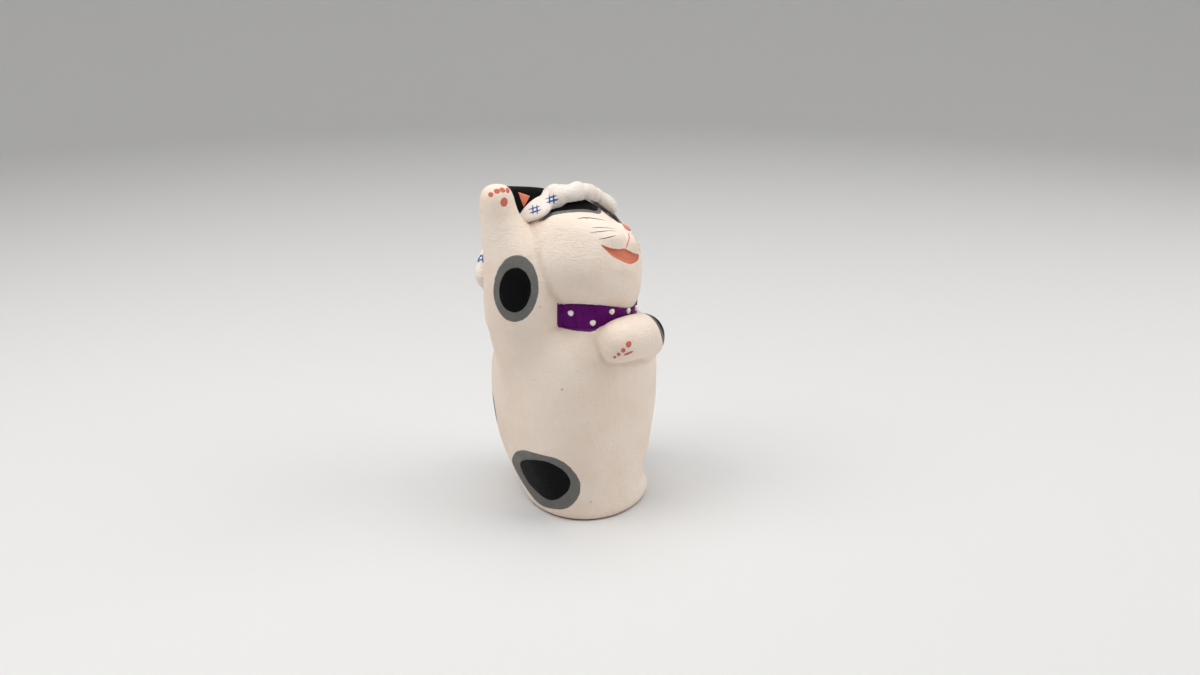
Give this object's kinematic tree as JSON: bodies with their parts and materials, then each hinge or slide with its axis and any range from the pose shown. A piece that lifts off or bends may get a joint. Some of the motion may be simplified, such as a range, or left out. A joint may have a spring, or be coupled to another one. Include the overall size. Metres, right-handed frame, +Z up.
{
  "type": "lucky cat figurine",
  "caption": "Standing hand-painted clay beckoning cat with one paw raised, head tilted back, a knotted towel on its head and a dotted collar.",
  "frame": {"origin": "centre of the round closing slab on the underside, where the figurine stands", "axes": "+Z up, the cat faces -Y, its right side is -X"},
  "size_m": [0.0461, 0.0488, 0.0858],
  "materials": {
    "painted_clay": "matte chalk-white ground over fired clay",
    "black_paint": "satin black brushed paint",
    "purple_paint": "semi-gloss purple brushed paint",
    "raised_white": "raised white paint dots",
    "bare_clay": "unpainted fired clay"
  },
  "bodies": {
    "root": {"trunk_front": "painted_clay", "trunk_back": "painted_clay", "head_face": "painted_clay", "head_back": "painted_clay", "base_plate": "bare_clay", "raised_arm": "painted_clay", "folded_arm": "painted_clay", "right_ear": "black_paint", "left_ear": "black_paint", "towel_roll": "painted_clay", "towel_knot": "painted_clay", "towel_band_right": "painted_clay", "towel_band_left": "painted_clay", "towel_tail_right": "painted_clay", "towel_tail_left": "painted_clay", "collar": "purple_paint", "collar_dot_01": "raised_white", "collar_dot_02": "raised_white", "collar_dot_03": "raised_white", "collar_dot_04": "raised_white", "collar_dot_05": "raised_white", "collar_dot_06": "raised_white", "collar_dot_07": "raised_white", "collar_dot_08": "raised_white", "collar_dot_09": "raised_white", "collar_dot_10": "raised_white", "collar_dot_11": "raised_white"}
  },
  "joints": []
}
